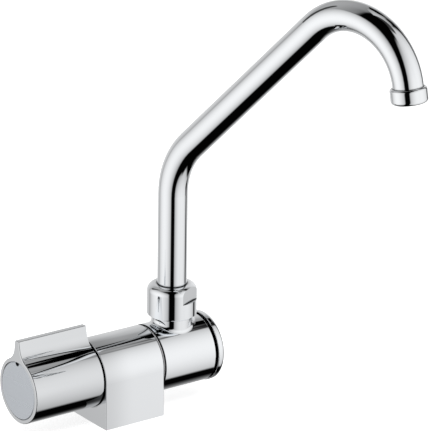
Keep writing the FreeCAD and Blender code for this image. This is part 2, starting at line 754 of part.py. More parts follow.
def draw_knob_section(sketch):
    """the knob's outline: the cylinder's arc, two hollow flanks, two drafted sides and the crest"""
    # a flank's centre lies one flank radius outside the drafted side and outside the cylinder
    height = "fin_height"
    half = "fin_tip / 2"
    across = "(fin_flank + %s * cos(fin_draft) + %s * sin(fin_draft))" % (half, height)
    reach = "(knob_radius + fin_flank)"
    down = "(0 - sqrt(%s * %s - %s * %s))" % (reach, reach, across, across)
    flank_y = "(%s * cos(fin_draft) + %s * sin(fin_draft))" % (across, down)
    flank_z = "(%s * sin(fin_draft) - %s * cos(fin_draft))" % (across, down)
    foot_y = "(%s * knob_radius / %s)" % (flank_y, reach)
    foot_z = "(%s * knob_radius / %s)" % (flank_z, reach)
    side_y = "(%s - fin_flank * cos(fin_draft))" % flank_y
    side_z = "(%s - fin_flank * sin(fin_draft))" % flank_z
    radius = value("knob_radius")
    flank = value("fin_flank")
    right = {
        "foot": Vector(value(foot_y), value(foot_z), 0),
        "side": Vector(value(side_y), value(side_z), 0),
        "tip": Vector(value(half), value(height), 0),
        "centre": Vector(value(flank_y), value(flank_z), 0),
    }
    left = {name: Vector(-spot.x, spot.y, 0) for name, spot in right.items()}
    sketch.addGeometry(Part.Arc(left["foot"], Vector(0, -radius, 0), right["foot"]), False)
    sketch.addGeometry(Part.Arc(right["foot"], flank_middle(right, flank), right["side"]), False)
    sketch.addGeometry(Part.LineSegment(right["side"], right["tip"]), False)
    sketch.addGeometry(Part.LineSegment(right["tip"], left["tip"]), False)
    sketch.addGeometry(Part.LineSegment(left["tip"], left["side"]), False)
    sketch.addGeometry(Part.Arc(left["side"], flank_middle(left, flank), left["foot"]), False)
    pin(sketch, 0, 3, "0", "0")
    hold_radius(sketch, 0, "knob_radius")
    for spots, arc, line, sign in ((right, 1, 2, ""), (left, 5, 4, "0 - ")):
        join_at(sketch, spots["foot"], 0, arc, "Tangent")
        join_at(sketch, spots["side"], arc, line, "Tangent")
        join_at(sketch, spots["tip"], line, 3)
        hold_radius(sketch, arc, "fin_flank")
        pin(sketch, line, end_at(sketch, line, spots["tip"]), sign + half, height)
        hold(sketch, "DistanceY", line, end_at(sketch, line, spots["side"]), side_z)


def flank_middle(spots, radius):
    """a point half-way along a flank's arc"""
    middle = (spots["foot"] + spots["side"]) * 0.5 - spots["centre"]
    return spots["centre"] + middle.normalize() * radius


def end_at(sketch, edge, spot):
    """which end of a sketch's edge lies at a point"""
    starts = sketch.getPoint(edge, 1).distanceToPoint(spot)
    return 1 if starts < sketch.getPoint(edge, 2).distanceToPoint(spot) else 2


def join_at(sketch, spot, first, second, kind="Coincident"):
    """makes two edges of a sketch meet at a point"""
    ends = end_at(sketch, first, spot), end_at(sketch, second, spot)
    sketch.addConstraint(Sketcher.Constraint(kind, first, ends[0], second, ends[1]))


def knob_insert():
    """the plastic adapter in the hub, with a square hole for the spindle's shank"""
    start = "hub_start - insert_flange - thread_fit"
    frame = {"x": KNOB_START, "z": "axis_height", **TO_LEFT}
    end = INSERT_END + " - thread_fit"
    solid = turned("insert_turning", frame, (
        ("0", start),
        ("hub_radius - thread_fit", start),
        ("hub_radius - thread_fit", "hub_start - thread_fit"),
        ("insert_radius", "hub_start - thread_fit"),
        ("insert_radius", end),
        ("0", end),
    ))
    side = "shank_across + 2 * shank_clearance"
    hole = box("insert_square", "knob_length", side, side, x=KNOB_START + " - knob_length",
               y="0 - (" + side + ") / 2", z="axis_height - (" + side + ") / 2")
    return cut("insert_cut", solid, [hole])


def knob_screw():
    """the screw that draws the knob onto the spindle"""
    seat = INSERT_END + " + screw_wall"
    frame = {"x": KNOB_START, "z": "axis_height", **TO_LEFT}
    tip = INSERT_END + " - face_gap - screw_reach + thread_fit"
    solid = turned("screw_turning", frame, (
        ("0", tip),
        ("screw_radius", tip),
        ("screw_radius", seat),
        ("screw_head_radius", seat),
        ("screw_head_radius", seat + " + screw_head_thick"),
        ("0", seat + " + screw_head_thick"),
    ))
    drive = hexagon("screw_socket", "screw_drive_across", "screw_head_thick / 2",
                    **at_height(frame, seat + " + screw_head_thick / 2"))
    return cut("screw_cut", solid, [drive])


def knob_cover():
    """the satin disc in the knob's front, notched at the top and held by a ring in the screw's well"""
    frame = {"x": KNOB_START, "z": "axis_height", **TO_LEFT}
    back = "knob_length - cover_thick"
    ring_outer = "well_radius - cover_gap"
    ring_inner = ring_outer + " - clip_ring_thick"
    solid = turned("cover_turning", frame, (
        ("0", back),
        (ring_inner, back),
        (ring_inner, back + " - clip_ring_length"),
        (ring_outer, back + " - clip_ring_length"),
        (ring_outer, back),
        ("cover_radius", back),
        ("cover_radius", "knob_length - cover_bevel"),
        ("cover_radius - cover_bevel", "knob_length"),
        ("0", "knob_length"),
    ))
    notch = cylinder("cover_notch", "notch_radius", "2 * cover_thick",
                     x=KNOB_START + " - knob_length - cover_thick / 2", y="cover_radius * sin(knob_set)",
                     z="axis_height + cover_radius * cos(knob_set)", pitch=RIGHT_ANGLE)
    return cut("cover_cut", solid, [notch])


def slide_washer():
    """the thin ring seen in the seam between the block and the carrier"""
    body = new_body("slide_washer_body", {"x": RIGHT_FACE, "z": "axis_height"})
    section = new_sketch(body, "slide_washer_section", "YZ_Plane")
    draw_circle(section, "body_radius - slide_washer_inset")
    draw_circle(section, "journal_radius + slide_washer_play")
    draw_circle(section, "pin_radius + pin_play", *PIN_SPOT)
    feature(body, "Pad", "slide_washer_pad", section, "slide_washer_thick")
    return body


def fold_axle():
    """the hollow axle screwed into the block: sealed journal, ring of ports and threaded end"""
    ring_root = "journal_radius - 2 * axle_ring_radius"
    port_root = "journal_radius - port_groove_depth"
    first = ring_span("(tube_offset - axle_ring_spread)", "axle_ring_groove")
    ports = ring_span("tube_offset", "port_groove_width")
    second = ring_span("(tube_offset + axle_ring_spread)", "axle_ring_groove")
    bore_end = "tube_offset + port_groove_width"
    root = "root_bore_radius - thread_fit"
    axle_end = AXLE_SHOULDER + " + axle_end_length"
    solid = turned("axle_turning", ON_AXIS_RIGHT, (
        ("axle_bore_radius", "0 - root_depth"),
        (root, "0 - root_depth"),
        (root, "0"),
        ("journal_radius", "0"),
        ("journal_radius", first[0]),
        (ring_root, first[0]),
        (ring_root, first[1]),
        ("journal_radius", first[1]),
        ("journal_radius", ports[0]),
        (port_root, ports[0]),
        (port_root, ports[1]),
        ("journal_radius", ports[1]),
        ("journal_radius", second[0]),
        (ring_root, second[0]),
        (ring_root, second[1]),
        ("journal_radius", second[1]),
        ("journal_radius", AXLE_SHOULDER),
        ("axle_end_radius", AXLE_SHOULDER),
        ("axle_end_radius", axle_end),
        ("0", axle_end),
        ("0", bore_end),
        ("axle_bore_radius", bore_end),
    ))
    upright = cylinder("axle_port_upright", "port_radius", "2 * journal_radius",
                       x=TUBE_X, z="axis_height - journal_radius")
    level = cylinder("axle_port_level", "port_radius", "2 * journal_radius",
                     x=TUBE_X, y="journal_radius", z="axis_height", roll=RIGHT_ANGLE)
    socket = hexagon("axle_socket", "socket_across", "socket_depth",
                     **at_height(ON_AXIS_RIGHT, axle_end + " - socket_depth"))
    return cut("axle_cut", solid, [upright, level, socket])


def axle_seal():
    """the ring between the axle's collar and the block"""
    return seal_ring("axle_seal_ring", "root_bore_radius + axle_seal_pocket / 2",
                     "axle_seal_radius - ring_relief / 2",
                     **at_height(ON_AXIS_RIGHT, "0 - axle_seal_radius"))


def axle_rings():
    """the two rings that keep the water between them as the carrier turns"""
    return grouped("axle_ring_pair", [
        seal_ring("axle_ring_%d" % index, "journal_radius - axle_ring_radius",
                  "axle_ring_radius - ring_relief / 2",
                  **at_height(ON_AXIS_RIGHT, "tube_offset + %d * axle_ring_spread" % side))
        for index, side in enumerate((-1, 1))
    ])


def stop_pin():
    """the pin in the block that stops the fold at both ends of the carrier's slot"""
    return cylinder("stop_pin_rod", "pin_radius", "pin_seat + pin_reach", x=RIGHT_FACE + " - pin_seat",
                    y=PIN_SPOT[0], z="axis_height + " + PIN_SPOT[1], pitch=RIGHT_ANGLE)


def thrust_washer():
    inner = "axle_end_radius + thread_fit"
    return turned("thrust_washer_body", ON_AXIS_RIGHT, (
        (inner, AXLE_SHOULDER), ("thrust_washer_radius", AXLE_SHOULDER),
        ("thrust_washer_radius", SPRING_SEAT), (inner, SPRING_SEAT)))


def spring_washer():
    """the coned washer that loads the fold joint's friction"""
    inner = "axle_end_radius + 2 * thread_fit"
    return turned("spring_washer_body", ON_AXIS_RIGHT, (
        ("spring_radius", SPRING_SEAT),
        ("spring_radius", SPRING_SEAT + " + spring_thick"),
        (inner, SPRING_TOP),
        (inner, SPRING_SEAT + " + spring_rise"),
    ))


def axle_nut():
    hexa = hexagon("axle_nut_hexagon", "axle_nut_across", "axle_nut_thick",
                   **at_height(ON_AXIS_RIGHT, SPRING_TOP))
    bore = cylinder("axle_nut_bore", "axle_end_radius + thread_fit", "axle_nut_thick",
                    **at_height(ON_AXIS_RIGHT, SPRING_TOP))
    return cut("axle_nut_cut", hexa, [bore])


def carrier():
    """the folding carrier: a barrel of the block's radius with the neck growing out of its top"""
    body = new_body("carrier_body", {"z": "axis_height"})
    start = RIGHT_FACE + " + " + SEAM
    end = RIGHT_FACE + " + carrier_end"
    # drawn below the axis, so that the barrel's seam lies opposite the neck
    low = "0 - body_radius"
    section = (start, "0"), (start, low), (end, low), (end, "0")
    turn(body, "Revolution", "carrier_barrel", section, "H_Axis")
    for name, radius, face in (("seam_rim", "seam_round", start), ("end_rim", "edge_break", end)):
        round_edges(body, name, radius, lambda edge: (
            isinstance(edge.Curve, Part.Circle) and abs(edge.Curve.Center.x - value(face)) < 0.01))
    neck = new_sketch(body, "neck_circle", "XY_Plane")
    draw_circle(neck, "neck_radius", TUBE_X, "0")
    feature(body, "Pad", "neck", neck, "neck_shoulder - axis_height")
    round_edges(body, "neck_root", "neck_fillet", lambda edge: (
        not isinstance(edge.Curve, (Part.Line, Part.Circle)) and edge.CenterOfMass.z > 0))
    thread = new_sketch(body, "neck_thread_circle", "XY_Plane")
    draw_circle(thread, "neck_thread_radius", TUBE_X, "0")
    feature(body, "Pad", "neck_thread", thread, "neck_top - axis_height")
    bore = "journal_radius + running_fit"
    recess = RIGHT_FACE + " + " + RECESS_FLOOR
    turn(body, "Groove", "carrier_bore", (
        (start, "0"),
        (start, bore),
        (recess, bore),
        (recess, "nut_recess_radius"),
        (end, "nut_recess_radius"),
        (end, "0"),
    ), "H_Axis")
    port = new_sketch(body, "neck_port_circle", "XY_Plane")
    draw_circle(port, "neck_port_radius", TUBE_X, "0")
    feature(body, "Pocket", "neck_port", port, "neck_bore_floor - axis_height", True)
    socket = new_sketch(body, "neck_bore_circle", "XY_Plane", "neck_bore_floor - axis_height")
    draw_circle(socket, "neck_bore_radius", TUBE_X, "0")
    feature(body, "Pocket", "neck_bore", socket, "neck_top - neck_bore_floor", True)
    slot = new_sketch(body, "stop_slot_outline", "YZ_Plane", start)
    draw_stop_slot(slot)
    feature(body, "Pocket", "stop_slot", slot, "pin_reach - " + SEAM + " + slot_floor_gap", True)
    return body


def draw_stop_slot(sketch):
    """the curved slot: one fold range long, as wide as the pin and its play"""
    width = "(pin_radius + pin_play)"
    # the carrier's slot turns forward over the pin, so it starts a fold range behind it
    far_angle = "(pin_angle + fold_range)"
    middle = value("pin_angle + fold_range / 2")

    def spot(radius, angle):
        turned_by = FreeCAD.Rotation(Vector(0, 0, 1), -angle)
        return turned_by.multVec(Vector(radius, 0, 0))

    half = value(width)
    centre = value("pin_circle")
    first, last = value("pin_angle"), value(far_angle)
    outer = [spot(centre + half, angle) for angle in (first, middle, last)]
    inner = [spot(centre - half, angle) for angle in (last, middle, first)]
    near_side = spot(centre, first) + spot(half, first - 90)
    far_side = spot(centre, last) + spot(half, last + 90)
    sketch.addGeometry(Part.Arc(*outer), False)
    sketch.addGeometry(Part.Arc(outer[2], far_side, inner[0]), False)
    sketch.addGeometry(Part.Arc(*inner), False)
    sketch.addGeometry(Part.Arc(inner[2], near_side, outer[0]), False)
    for index, corner in enumerate((outer[2], inner[0], inner[2], outer[0])):
        join_at(sketch, corner, index, (index + 1) % 4, "Tangent")
    for arc in (0, 2):
        sketch.addConstraint(Sketcher.Constraint("Coincident", arc, 3, -1, 1))
    hold_radius(sketch, 0, "pin_circle + " + width)
    hold_radius(sketch, 1, width)
    hold(sketch, "DistanceX", 1, 3, "pin_circle * cos(%s)" % far_angle)
    hold(sketch, "DistanceX", 3, 3, PIN_SPOT[0])


def end_cap():
    """the rounded cap behind a shadow groove, plugged into the carrier over the axle's nut"""
    rim = "(body_radius + cap_overhang)"
    plug = "nut_recess_radius - thread_fit"
    hollow = plug + " - spigot_wall"
    plug_start = "carrier_end - spigot_length"
    ring_root = plug + " - 2 * cap_ring_radius"
    ring = ring_span("(carrier_end - spigot_length / 2)", "cap_ring_groove")
    step = "body_radius - cap_groove_depth"
    disc = "carrier_end + cap_groove"
    face = disc + " + cap_length"
    body = turned("end_cap_body", ON_AXIS_RIGHT, (
        (hollow, plug_start),
        (plug, plug_start),
        (plug, ring[0]),
        (ring_root, ring[0]),
        (ring_root, ring[1]),
        (plug, ring[1]),
        (plug, "carrier_end"),
        (step, "carrier_end"),
        (step, disc),
        (rim, disc),
        (rim, face),
        ("0", face),
        ("0", face + " - cap_wall"),
        (hollow, face + " - cap_wall"),
    ))
    round_edges(body, "cap_inner_rim", "edge_break", lambda edge: is_rim(edge, rim, disc))
    round_edges(body, "cap_rim", "cap_round", lambda edge: is_rim(edge, rim, face))
    return body


def cap_ring():
    return seal_ring("cap_ring_torus", "nut_recess_radius - thread_fit - cap_ring_radius",
                     "cap_ring_radius - ring_relief / 2",
                     **at_height(ON_AXIS_RIGHT, "carrier_end - spigot_length / 2"))


def swivel_nut():
    """the domed union nut that keeps the spout in the neck, with two spanner flats"""
    thread = "neck_thread_radius + thread_fit"
    hole = "tube_radius + tube_hole_gap"
    body = turned("swivel_nut_turning", IN_NECK, (
        (thread, NUT_BASE),
        ("nut_radius - nut_chamfer", NUT_BASE),
        ("nut_radius", NUT_BASE + " + nut_chamfer"),
        ("nut_radius", "nut_top"),
        (hole, "nut_top"),
        (hole, NUT_SHOULDER),
        (thread, NUT_SHOULDER),
    ))
    round_edges(body, "nut_dome_round", "nut_dome", lambda edge: is_rim(edge, "nut_radius", "nut_top"))
    ledge = "nut_top - nut_flats_height"
    ring = cylinder("nut_flats_ring", "nut_radius + nut_flats_height", "nut_flats_height", x=TUBE_X, z=ledge)
    width = "4 * nut_radius"
    slab = box("nut_flats_slab", "nut_flats", width, "nut_flats_height",
               x=(TUBE_X + " - nut_flats / 2 * cos(nut_flats_turn) - ("
                  + width + ") / 2 * sin(nut_flats_turn)"),
               y="nut_flats / 2 * sin(nut_flats_turn) - (" + width + ") / 2 * cos(nut_flats_turn)",
               z=ledge, yaw="0 - nut_flats_turn")
    return cut("swivel_nut_cut", body, [cut("nut_flats_tool", ring, [slab])])


def neck_slip_ring():
    """the plastic ring on top of the neck that the spout's flange turns on"""
    inner = "neck_bore_radius"
    bottom = "neck_top"
    top = "neck_top + slip_ring_thick"
    outer = "neck_thread_radius - thread_fit"
    section = (inner, bottom), (outer, bottom), (outer, top), (inner, top)
    return turned("neck_slip_ring_body", IN_NECK, section)


def nut_slip_ring():
    """the plastic ring between the spout's flange and the nut"""
    inner = "tube_radius + tube_hole_gap"
    outer = "neck_thread_radius - thread_fit"
    bottom = TUBE_BASE + " + face_gap"
    top = NUT_SHOULDER
    section = (inner, bottom), (outer, bottom), (outer, top), (inner, top)
    return turned("nut_slip_ring_body", IN_NECK, section)


def spout_foot():
    """the brass foot brazed into the tube: ringed barrel, flange and spigot"""
    barrel = "neck_bore_radius - running_fit"
    ring_root = barrel + " - 2 * foot_ring_radius"
    bottom = "neck_bore_floor + foot_floor_gap"
    first = ring_span(foot_ring_place(0), "foot_ring_groove")
    second = ring_span(foot_ring_place(1), "foot_ring_groove")
    spigot = TUBE_BORE + " - thread_fit"
    return turned("spout_foot_body", SPOUT_PLANE, (
        ("foot_bore_radius", bottom),
        (barrel, bottom),
        (barrel, first[0]),
        (ring_root, first[0]),
        (ring_root, first[1]),
        (barrel, first[1]),
        (barrel, second[0]),
        (ring_root, second[0]),
        (ring_root, second[1]),
        (barrel, second[1]),
        (barrel, FLANGE_BASE),
        ("foot_flange_radius", FLANGE_BASE),
        ("foot_flange_radius", TUBE_BASE),
        (spigot, TUBE_BASE),
        (spigot, TUBE_BASE + " + foot_spigot"),
        ("foot_bore_radius", TUBE_BASE + " + foot_spigot"),
    ))


def foot_ring_place(index):
    return "(neck_bore_floor + foot_ring_start + %d * foot_ring_spacing)" % index


def foot_rings():
    return grouped("foot_ring_pair", [
        seal_ring("foot_ring_%d" % index, "neck_bore_radius - running_fit - foot_ring_radius",
                  "foot_ring_radius - ring_relief / 2", **at_height(IN_NECK, foot_ring_place(index)))
        for index in range(2)
    ])


def spout_tube():
    """the drawn tube: upright run, elbow, rising arm, crook and a short end that leans outward"""
    body = new_body("spout_tube_body", SPOUT_PLANE)
    elbow_run = "(elbow_radius * tan((90 - arm_angle) / 2))"
    top_x = "(spout_arm * cos(arm_angle))"
    top_z = "(spout_rise + spout_arm * sin(arm_angle))"
    end_run = "(" + CROOK_RUN + " + tip_straight + nozzle_socket)"
    corners = (
        ("0", TUBE_BASE),
        ("0", "spout_rise - " + elbow_run),
        (elbow_run + " * cos(arm_angle)", "spout_rise + " + elbow_run + " * sin(arm_angle)"),
        (top_x + " - " + CROOK_RUN + " * cos(arm_angle)", top_z + " - " + CROOK_RUN + " * sin(arm_angle)"),
        (top_x + " + " + CROOK_RUN + " * cos(end_angle)", top_z + " - " + CROOK_RUN + " * sin(end_angle)"),
        (top_x + " + " + end_run + " * cos(end_angle)", top_z + " - " + end_run + " * sin(end_angle)"),
    )
    spots = [Vector(value(x), value(y), 0) for x, y in corners]
    elbow = value("elbow_radius")
    crook = value("crook_radius")
    elbow_centre = spots[1] + Vector(elbow, 0, 0)
    slope = FreeCAD.Rotation(Vector(0, 0, 1), value("arm_angle"))
    crook_centre = spots[3] + slope.multVec(Vector(0, -crook, 0))
    path = new_sketch(body, "spout_path", "XZ_Plane")
    path.addGeometry(Part.LineSegment(spots[0], spots[1]), False)
    elbow_middle = arc_middle(spots[1], spots[2], elbow_centre, elbow)
    crook_middle = arc_middle(spots[3], spots[4], crook_centre, crook)
    path.addGeometry(Part.Arc(spots[1], elbow_middle, spots[2]), False)
    path.addGeometry(Part.LineSegment(spots[2], spots[3]), False)
    path.addGeometry(Part.Arc(spots[3], crook_middle, spots[4]), False)
    path.addGeometry(Part.LineSegment(spots[4], spots[5]), False)
    for index in range(1, 5):
        join_at(path, spots[index], index - 1, index)
    for line, first in ((0, 0), (2, 2), (4, 4)):
        for corner in (first, first + 1):
            pin(path, line, end_at(path, line, spots[corner]), *corners[corner])
    hold_radius(path, 1, "elbow_radius")
    hold_radius(path, 3, "crook_radius")
    section = new_sketch(body, "spout_section", "XY_Plane", TUBE_BASE)
    draw_circle(section, "tube_radius")
    draw_circle(section, TUBE_BORE)
    doc.recompute()
    pipe = body.newObject("PartDesign::AdditivePipe", "spout_pipe")
    pipe.Profile = section
    pipe.Spine = (path, ["Edge%d" % index for index in range(1, 6)])
    return body


def arc_middle(start, end, centre, radius):
    """a point half-way along an arc"""
    return centre + ((start + end) * 0.5 - centre).normalize() * radius


def nozzle():
    """the rounded collar brazed on the tube's end, threaded inside for the aerator"""
    half = "nozzle_length / 2"
    socket = "tube_radius + thread_fit"
    top = "0 - " + half
    shoulder = "nozzle_socket - " + half
    body = turned("nozzle_body", ON_NOZZLE, (
        (socket, top),
        ("nozzle_radius", top),
        ("nozzle_radius", half),
        ("aerator_bore_radius", half),
        ("aerator_bore_radius", shoulder + " + nozzle_lip"),
        (TUBE_BORE, shoulder + " + nozzle_lip"),
        (TUBE_BORE, shoulder),
        (socket, shoulder),
    ))
    round_edges(body, "nozzle_rim", "nozzle_rim_round", lambda edge: is_rim(edge, "nozzle_radius", half))
    round_edges(body, "nozzle_top", "nozzle_top_round", lambda edge: is_rim(edge, "nozzle_radius", top))
    return body


AERATOR_START = "(nozzle_socket - nozzle_length / 2 + nozzle_lip)"
AERATOR_END = "(nozzle_length / 2 - aerator_inset)"


def aerator_seal():
    inner = "aerator_seal_inner"
    outer = "aerator_bore_radius - thread_fit"
    top = AERATOR_START + " + aerator_seal_thick"
    section = (inner, AERATOR_START), (outer, AERATOR_START), (outer, top), (inner, top)
    return turned("aerator_seal_body", ON_NOZZLE, section)


def aerator_cup():
    """the aerator's plastic cup, its floor pierced by two rings of holes round a middle one"""
    start = AERATOR_START + " + aerator_seal_thick"
    outer = "aerator_bore_radius - thread_fit"
    inner = outer + " - aerator_wall"
    body = turned("aerator_cup_body", ON_NOZZLE, (
        (inner, start),
        (outer, start),
        (outer, AERATOR_END),
        ("0", AERATOR_END),
        ("0", AERATOR_END + " - grid_thick"),
        (inner, AERATOR_END + " - grid_thick"),
    ))
    rings = (("middle", "0", 1), ("inner", "grid_inner_circle", 6), ("outer", "grid_outer_circle", 12))
    for name, circle, count in rings:
        sketch = new_sketch(body, "grid_%s_circle" % name, "XY_Plane", AERATOR_END)
        draw_circle(sketch, "grid_hole_radius", circle, "0")
        hole = feature(body, "Pocket", "grid_%s_hole" % name, sketch, "grid_thick")
        if count == 1:
            continue
        doc.recompute()
        ring = body.newObject("PartDesign::PolarPattern", "grid_%s_ring" % name)
        ring.Originals = [hole]
        ring.Axis = (sketch, ["N_Axis"])
        ring.Angle = 360
        ring.Occurrences = count
        body.Tip = ring
    return body


def aerator_screen():
    """the fine metal screen that lies inside the cup"""
    outer = "aerator_bore_radius - thread_fit - aerator_wall - thread_fit"
    start = AERATOR_START + " + aerator_seal_thick"
    return turned("aerator_screen_body", ON_NOZZLE, (
        ("0", start), (outer, start), (outer, start + " + screen_thick"), ("0", start + " + screen_thick")))


node("base_block", block())
node("base_gasket", base_gasket())
node("headwork_body", headwork())
node("headwork_washer", headwork_washer())
node("fixed_disc", fixed_disc())
node("seat_seal", seat_seal())
node("fold_axle", fold_axle())
node("axle_seal", axle_seal())
node("axle_o_rings", axle_rings())
node("slide_washer", slide_washer())
node("stop_pin", stop_pin())
node("thrust_washer", thrust_washer())
node("spring_washer", spring_washer())
node("axle_nut", axle_nut())
node("knob_shell", knob_shell())
node("knob_insert", knob_insert())
node("knob_screw", knob_screw())
node("knob_cover", knob_cover())
node("valve_spindle", spindle())
node("friction_ring", friction_ring())
node("moving_disc", moving_disc())
node("stem_o_rings", stem_rings())
node("spindle_circlip", circlip())
node("spout_carrier", carrier())
node("end_cap", end_cap())
node("cap_o_ring", cap_ring())
node("swivel_nut", swivel_nut())
node("neck_slip_ring", neck_slip_ring())
node("nut_slip_ring", nut_slip_ring())
node("spout_foot", spout_foot())
node("foot_o_rings", foot_rings())
node("spout_tube", spout_tube())
node("nozzle_collar", nozzle())
node("aerator_seal", aerator_seal())
node("aerator_cup", aerator_cup())
node("aerator_screen", aerator_screen())
doc.recompute()

for item in doc.Objects:
    if "Invalid" in item.State or "Error" in item.State:
        raise RuntimeError("%s failed: %s" % (item.Name, item.State))
for name, item in nodes.items():
    shape = item.Shape
    if shape.isNull() or not shape.isValid() or not shape.Solids:
        raise RuntimeError("%s has no valid solid" % name)
    print("%-16s solids %d volume %10.1f" % (name, len(shape.Solids), shape.Volume))
    shape.exportStep("parts/%s.step" % name)
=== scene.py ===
import json
import math

import bpy
from mathutils import Matrix, Vector

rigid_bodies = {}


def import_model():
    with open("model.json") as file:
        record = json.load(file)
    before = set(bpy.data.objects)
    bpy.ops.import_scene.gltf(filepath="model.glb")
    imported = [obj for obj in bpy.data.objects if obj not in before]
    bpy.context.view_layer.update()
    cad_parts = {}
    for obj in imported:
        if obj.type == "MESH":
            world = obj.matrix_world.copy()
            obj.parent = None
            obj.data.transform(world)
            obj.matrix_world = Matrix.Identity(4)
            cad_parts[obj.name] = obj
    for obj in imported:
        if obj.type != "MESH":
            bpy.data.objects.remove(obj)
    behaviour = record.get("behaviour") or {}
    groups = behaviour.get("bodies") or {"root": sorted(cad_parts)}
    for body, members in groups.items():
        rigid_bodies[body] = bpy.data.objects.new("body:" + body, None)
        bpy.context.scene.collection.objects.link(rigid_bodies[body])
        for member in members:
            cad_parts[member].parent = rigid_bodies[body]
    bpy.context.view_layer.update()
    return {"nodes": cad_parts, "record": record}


# lengths are in metres, angles in degrees, and only the camera's lens and frame in millimetres

# the photograph's camera: where it stands, how it looks and how far, and its lens on a frame 36 mm wide
CAMERA_PLACE = Vector((-1.2569, -1.8465, 0.9532))
CAMERA_TURN = 35.905
CAMERA_DROP = 19.982
CAMERA_ROLL = 0.911
CAMERA_SIGHT = 20.0
SENSOR_WIDTH = 36.0
LENS = 301.86

# the table and the plain light: the paper's grey, its glow towards the camera, and the light from all round
FLOOR_SIZE = 6.0
PAPER_GREY = 0.86
FLOOR_GLOW = 0.70
FILL_LIGHT = 0.55

# the lamp that casts the soft shadow, in metres and watts
LAMP_SIZE = 1.2
LAMP_POWER = 14.0
LAMP_PLACE = Vector((-0.3, -0.6, 1.6))
LAMP_AIM = Vector((0.0, 0.0, 0.1))

# the studio: a round light tent whose front, back and sides are seen in the polished metal
TENT_CENTRE = Vector((0.10, -0.08, 0.17))
TENT_RADIUS = 0.80
TENT_ROWS = 24
TENT_COLUMNS = 48
DARK_ROOM = 0.001

# how a cloth hangs: square or round corners, a taut or a slack edge, and its fall of light outwards
SQUARE = 4.0
ROUND = 1.7
TAUT = 0.08
SLACK = 0.40
CLOTH_FALL = 0.5
FOLD_FALL = 0.0

# the tent's plan: left and right end, foot and top, light, corners and edge of each cloth. Turns start at
# the camera's side of the tent and grow to the camera's right, and the camera looks in through the gap
# between the left wall and the right wall. The plan is a fitted draft's layout, coarsened.
CLOTHS = {
    "left_wall": (-120, -20, -55, 45, 1.00, SQUARE, TAUT),
    "left_back": (-200, -110, -60, 40, 0.70, SQUARE, SLACK),
    "left_roof": (-220, -65, 0, 85, 0.40, SQUARE, TAUT),
    "right_wall": (8, 95, -60, 55, 0.95, SQUARE, TAUT),
    "right_side": (10, 135, -70, 75, 0.95, ROUND, TAUT),
    "right_back": (115, 215, -35, 35, 0.65, SQUARE, SLACK),
    "back_roof": (65, 190, 55, 120, 0.55, ROUND, TAUT),
    "back_wall": (135, 200, -55, 45, 0.85, SQUARE, SLACK),
}
# the dim openings between the cloths, given in the same way; their light is the share that they take away
FOLDS = {
    "left_seam": (-125, -110, 15, 50, 0.85, SQUARE, TAUT),
    "right_seam": (120, 135, -35, 60, 0.85, SQUARE, TAUT),
    "back_vent": (140, 165, 45, 65, 1.00, SQUARE, TAUT),
    "front_vent": (35, 115, 60, 110, 0.90, ROUND, TAUT),
}

# painted shade in narrow gaps and creases, where the colour is darkened: how far the gap's other side may
# be, and how open a place is where the full painted dark ends and where the open metal starts
CREASE_REACH = 0.0025
CREASE_CLOSED = 0.52
CREASE_OPEN = 0.88
CREASE_SAMPLES = 16

# painted shade at the seam: dark lines painted on the metal rims beside the slide washer, for the seam's
# shadow and dark reflections; their width; how much of the way from the washer's middle to their outer edge
# is fully dark; the height where they start; and that height's multiple where they are complete
RIM_WIDTH = 0.00085
RIM_DARK = 0.8
RIM_FOOT = 0.019
RIM_FULL = 1.2

# painted shade: the brightness that is left of the polished plating's colour on the knob's side, which is
# painted darker
SIDE_SHADE_LEFT = 0.82

# the range that most of a noise field lies in
NOISE_LOW = 0.3
NOISE_HIGH = 0.7

X_AXIS = 0

# the mix node's colour sockets
MIX_FIRST = 6
MIX_SECOND = 7
MIX_RESULT = 2


def rad(degrees):
    return math.radians(degrees)


def grey(level):
    return (level, level, level, 1)


def extent(item, axis):
    """where a node's mesh starts and ends along one of its own axes"""
    places = [vertex.co[axis] for vertex in item.data.vertices]
    return min(places), max(places)


def empty_scene():
    for item in list(bpy.data.objects):
        bpy.data.objects.remove(item)


def make_camera():
    """the camera of the photograph"""
    turn, drop, roll = rad(CAMERA_TURN), rad(CAMERA_DROP), rad(CAMERA_ROLL)
    ahead = Vector((math.cos(drop) * math.sin(turn), math.cos(drop) * math.cos(turn), -math.sin(drop)))
    level = Vector((math.cos(turn), -math.sin(turn), 0.0))
    right = level * math.cos(roll) + level.cross(ahead) * math.sin(roll)
    up = right.cross(ahead)
    lens = bpy.data.cameras.new("camera")
    lens.sensor_fit = "HORIZONTAL"
    lens.sensor_width = SENSOR_WIDTH
    lens.lens = LENS
    lens.clip_end = CAMERA_SIGHT
    camera = bpy.data.objects.new("camera", lens)
    pose = Matrix((right, up, -ahead)).transposed().to_4x4()
    pose.translation = CAMERA_PLACE
    camera.matrix_world = pose
    bpy.context.scene.collection.objects.link(camera)
    bpy.context.scene.camera = camera


